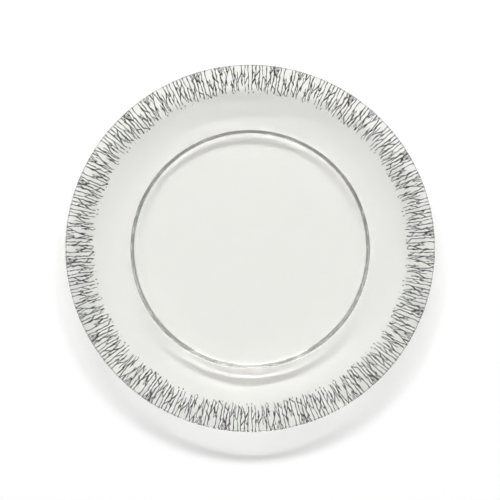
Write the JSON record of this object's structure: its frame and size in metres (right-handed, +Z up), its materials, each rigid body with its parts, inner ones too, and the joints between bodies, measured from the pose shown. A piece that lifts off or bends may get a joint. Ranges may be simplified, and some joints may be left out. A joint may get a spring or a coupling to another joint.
{
  "type": "charger plate",
  "caption": "Round clear glass charger plate with a sunken flat well, a flat foot and a wide sloping rim decorated with silver veins.",
  "frame": {"origin": "centre of the foot, on the plane that the plate stands on", "axes": "+Z up along the plate's axis; +X through the middle of the first silver panel"},
  "size_m": [0.33, 0.33, 0.0201],
  "materials": {
    "clear_glass": "clear pressed glass, fire polished",
    "fired_silver": "fired silver lustre, satin, a little darkened"
  },
  "bodies": {
    "root": {"glass_plate": "clear_glass", "silver_panel_01": "fired_silver", "silver_panel_02": "fired_silver", "silver_panel_03": "fired_silver", "silver_panel_04": "fired_silver", "silver_panel_05": "fired_silver", "silver_panel_06": "fired_silver", "silver_panel_07": "fired_silver", "silver_panel_08": "fired_silver", "silver_panel_09": "fired_silver", "silver_panel_10": "fired_silver", "silver_panel_11": "fired_silver", "silver_panel_12": "fired_silver", "silver_panel_13": "fired_silver", "silver_panel_14": "fired_silver"}
  },
  "joints": []
}
